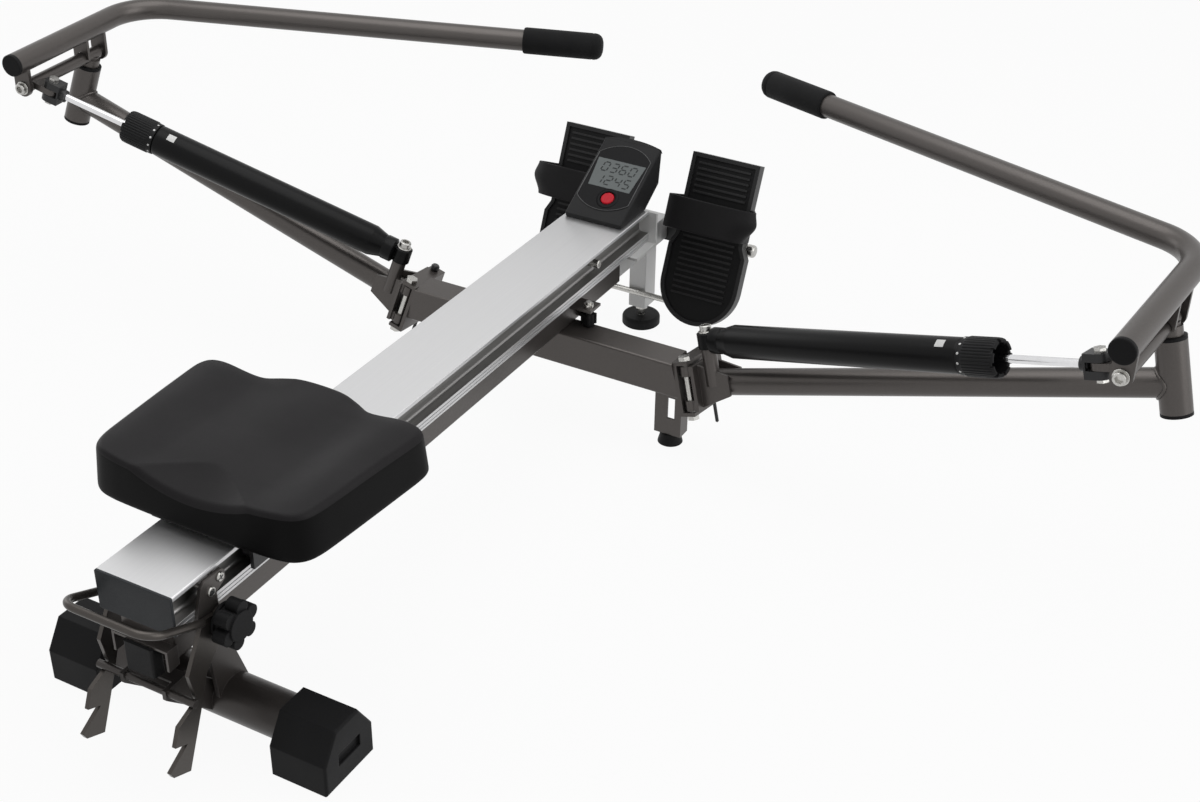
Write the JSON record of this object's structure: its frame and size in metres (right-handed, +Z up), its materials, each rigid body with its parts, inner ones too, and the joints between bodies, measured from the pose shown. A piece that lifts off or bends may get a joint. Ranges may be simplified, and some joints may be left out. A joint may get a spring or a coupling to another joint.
{
  "type": "hydraulic rowing machine",
  "caption": "Home rowing machine: moulded seat rolling on an aluminium rail, folding outriggers with bent oars and hydraulic dampers, strapped pedals, monitor, folding rear foot.",
  "frame": {"origin": "on the floor, under the middle of the whole machine's box", "axes": "X to the user's right, Y forward from the seat to the pedals, Z up"},
  "size_m": [1.719, 1.2872, 0.4177],
  "materials": {
    "anodised_rail": "satin anodised",
    "grey_paint": "satin metallic grey",
    "silver_paint": "satin silver",
    "black_steel": "semi-matt black",
    "bronze_grey_steel": "satin dark grey",
    "barrel_black": "satin black",
    "zinc": "zinc plated",
    "chrome_rod": "polished",
    "black_plastic": "fine-grained black",
    "grey_plastic": "matt dark grey",
    "gloss_black": "gloss black",
    "lcd": "grey-green display",
    "red_plastic": "red",
    "black_rubber": "matt",
    "strap_rubber": "matt strap",
    "grip_foam": "matt foam",
    "seat_cover": "satin moulded foam skin"
  },
  "bodies": {
    "frame": {"rail": "anodised_rail", "rail_end_cap": "grey_plastic", "main_beam": "grey_paint", "crossbeam": "grey_paint", "crossbeam_legs": "grey_paint", "crossbeam_feet": "black_rubber", "lock_pins": "black_steel", "hinge_bolts": "zinc", "frame_bolts": "zinc", "front_leg": "silver_paint", "rail_brackets": "black_steel", "bumper": "black_rubber", "pivot_discs": "black_plastic", "pedal_carrier": "black_plastic", "pedal_axle": "zinc", "heel_bar": "zinc", "monitor_shell": "black_plastic", "monitor_bezel": "gloss_black", "monitor_screen": "lcd"},
    "front_foot": {"front_foot": "black_plastic"},
    "wing_knob": {"wing_knob": "black_plastic"},
    "star_knob": {"star_knob": "black_plastic"},
    "mode_button": {"mode_button": "red_plastic"},
    "rear_foot": {"rear_foot": "grey_paint", "foot_caps": "black_plastic"},
    "tilt_rack": {"tilt_rack": "bronze_grey_steel"},
    "seat": {"seat_pad": "seat_cover", "seat_carriage": "black_steel"},
    "roller_rear_right": {"roller_rear_right": "black_plastic"},
    "roller_rear_left": {"roller_rear_left": "black_plastic"},
    "roller_front_right": {"roller_front_right": "black_plastic"},
    "roller_front_left": {"roller_front_left": "black_plastic"},
    "pedal_right": {"footplate_right": "black_plastic", "foot_strap_right": "strap_rubber"},
    "arm_right": {"outrigger_right": "grey_paint", "housing_caps_right": "black_plastic", "damper_base_bolt_right": "zinc"},
    "yoke_right": {"swing_yoke_right": "grey_paint", "lift_bolt_right": "zinc"},
    "oar_right": {"oar_tube_right": "grey_paint", "oar_plug_right": "black_plastic", "grip_right": "grip_foam"},
    "damper_right": {"damper_barrel_right": "barrel_black"},
    "dial_right": {"resistance_dial_right": "black_plastic"},
    "rod_right": {"damper_rod_right": "chrome_rod", "rod_end_right": "black_steel"},
    "pedal_left": {"footplate_left": "black_plastic", "foot_strap_left": "strap_rubber"},
    "arm_left": {"outrigger_left": "grey_paint", "housing_caps_left": "black_plastic", "damper_base_bolt_left": "zinc"},
    "yoke_left": {"swing_yoke_left": "grey_paint", "lift_bolt_left": "zinc"},
    "oar_left": {"oar_tube_left": "grey_paint", "oar_plug_left": "black_plastic", "grip_left": "grip_foam"},
    "damper_left": {"damper_barrel_left": "barrel_black"},
    "dial_left": {"resistance_dial_left": "black_plastic"},
    "rod_left": {"damper_rod_left": "chrome_rod", "rod_end_left": "black_steel"}
  },
  "joints": [
    {"name": "seat_slide", "type": "slide", "parent": "frame", "child": "seat", "axis": [0, 1, 0], "range_m": [-0.03, 0.585]},
    {"name": "roller_rear_right_spin", "type": "hinge", "parent": "seat", "child": "roller_rear_right", "pos_m": [0.043, -0.45809, 0.2158], "axis": [-1, 0, 0], "continuous": true},
    {"name": "roller_rear_left_spin", "type": "hinge", "parent": "seat", "child": "roller_rear_left", "pos_m": [-0.043, -0.45809, 0.2158], "axis": [-1, 0, 0], "continuous": true},
    {"name": "roller_front_right_spin", "type": "hinge", "parent": "seat", "child": "roller_front_right", "pos_m": [0.043, -0.33209, 0.2158], "axis": [-1, 0, 0], "continuous": true},
    {"name": "roller_front_left_spin", "type": "hinge", "parent": "seat", "child": "roller_front_left", "pos_m": [-0.043, -0.33209, 0.2158], "axis": [-1, 0, 0], "continuous": true},
    {"name": "front_foot_turn", "type": "hinge", "parent": "frame", "child": "front_foot", "pos_m": [0, 0.51641, 0.015], "axis": [0, 0, 1], "continuous": true},
    {"name": "wing_knob_turn", "type": "hinge", "parent": "frame", "child": "wing_knob", "pos_m": [0.058, 0.24291, 0.158], "axis": [0, 0, 1], "continuous": true},
    {"name": "star_knob_turn", "type": "hinge", "parent": "frame", "child": "star_knob", "pos_m": [0.0755, -0.53709, 0.177], "axis": [1, 0, 0], "continuous": true},
    {"name": "mode_button_press", "type": "slide", "parent": "frame", "child": "mode_button", "axis": [0, 0.515, -0.8572], "range_m": [0, 0.0015], "stiffness_N_per_m": 400, "springref_m": -0.002},
    {"name": "rear_foot_fold", "type": "hinge", "parent": "frame", "child": "rear_foot", "pos_m": [0, -0.53709, 0.177], "axis": [1, 0, 0], "range_deg": [0, 45]},
    {"name": "tilt_rack_release", "type": "hinge", "parent": "rear_foot", "child": "tilt_rack", "pos_m": [0, -0.53709, 0.177], "axis": [1, 0, 0], "range_deg": [0, 20], "stiffness_Nm_per_rad": 1.5, "springref_deg": -34.38},
    {"name": "pedal_tilt_right", "type": "hinge", "parent": "frame", "child": "pedal_right", "pos_m": [0.107, 0.54441, 0.152], "axis": [1, 0, 0], "range_deg": [-25, 0]},
    {"name": "arm_fold_right", "type": "hinge", "parent": "frame", "child": "arm_right", "pos_m": [0.2284, 0.21221, 0.1113], "axis": [0.2892, -0.1478, -0.9458], "range_deg": [0, 60]},
    {"name": "oar_swing_right", "type": "hinge", "parent": "arm_right", "child": "yoke_right", "pos_m": [0.83008, 0.23792, 0.29123], "axis": [-0.2892, 0.1478, 0.9458], "range_deg": [0, 50]},
    {"name": "oar_lift_right", "type": "hinge", "parent": "yoke_right", "child": "oar_right", "pos_m": [0.809, 0.2487, 0.36018], "axis": [0.0957, 0.9953, -0.0174], "range_deg": [0, 35]},
    {"name": "damper_swing_right", "type": "hinge", "parent": "arm_right", "child": "damper_right", "pos_m": [0.242, 0.23292, 0.1783], "axis": [-0.2892, 0.1478, 0.9458], "range_deg": [-1, 4]},
    {"name": "rod_swing_right", "type": "hinge", "parent": "yoke_right", "child": "rod_right", "pos_m": [0.76614, 0.12106, 0.35603], "axis": [-0.2892, 0.1478, 0.9458], "range_deg": [-48.6, 1]},
    {"name": "dial_turn_right", "type": "hinge", "parent": "damper_right", "child": "dial_right", "pos_m": [0.62445, 0.1513, 0.30799], "axis": [0.9283, -0.1981, 0.3148], "range_deg": [0, 330]},
    {"name": "pedal_tilt_left", "type": "hinge", "parent": "frame", "child": "pedal_left", "pos_m": [-0.107, 0.54441, 0.152], "axis": [1, 0, 0], "range_deg": [-25, 0]},
    {"name": "arm_fold_left", "type": "hinge", "parent": "frame", "child": "arm_left", "pos_m": [-0.2284, 0.21221, 0.1113], "axis": [0.2892, 0.1478, 0.9458], "range_deg": [0, 60]},
    {"name": "oar_swing_left", "type": "hinge", "parent": "arm_left", "child": "yoke_left", "pos_m": [-0.83008, 0.23792, 0.29123], "axis": [-0.2892, -0.1478, -0.9458], "range_deg": [0, 50]},
    {"name": "oar_lift_left", "type": "hinge", "parent": "yoke_left", "child": "oar_left", "pos_m": [-0.809, 0.2487, 0.36018], "axis": [0.0957, -0.9953, 0.0174], "range_deg": [0, 35]},
    {"name": "damper_swing_left", "type": "hinge", "parent": "arm_left", "child": "damper_left", "pos_m": [-0.242, 0.23292, 0.1783], "axis": [-0.2892, -0.1478, -0.9458], "range_deg": [-1, 4]},
    {"name": "rod_swing_left", "type": "hinge", "parent": "yoke_left", "child": "rod_left", "pos_m": [-0.76614, 0.12106, 0.35603], "axis": [-0.2892, -0.1478, -0.9458], "range_deg": [-48.6, 1]},
    {"name": "dial_turn_left", "type": "hinge", "parent": "damper_left", "child": "dial_left", "pos_m": [-0.62445, 0.1513, 0.30799], "axis": [0.9283, 0.1981, -0.3148], "range_deg": [0, 330]}
  ],
  "couplings": [
    {"joint": "roller_rear_right_spin", "follows": "seat_slide", "rad_per_m": 68.966},
    {"joint": "roller_rear_left_spin", "follows": "seat_slide", "rad_per_m": 68.966},
    {"joint": "roller_front_right_spin", "follows": "seat_slide", "rad_per_m": 68.966},
    {"joint": "roller_front_left_spin", "follows": "seat_slide", "rad_per_m": 68.966},
    {"joint": "damper_swing_right", "follows": "oar_swing_right", "ratio": 0.048},
    {"joint": "rod_swing_right", "follows": "oar_swing_right", "ratio": -0.952},
    {"joint": "damper_swing_left", "follows": "oar_swing_left", "ratio": 0.048},
    {"joint": "rod_swing_left", "follows": "oar_swing_left", "ratio": -0.952}
  ]
}
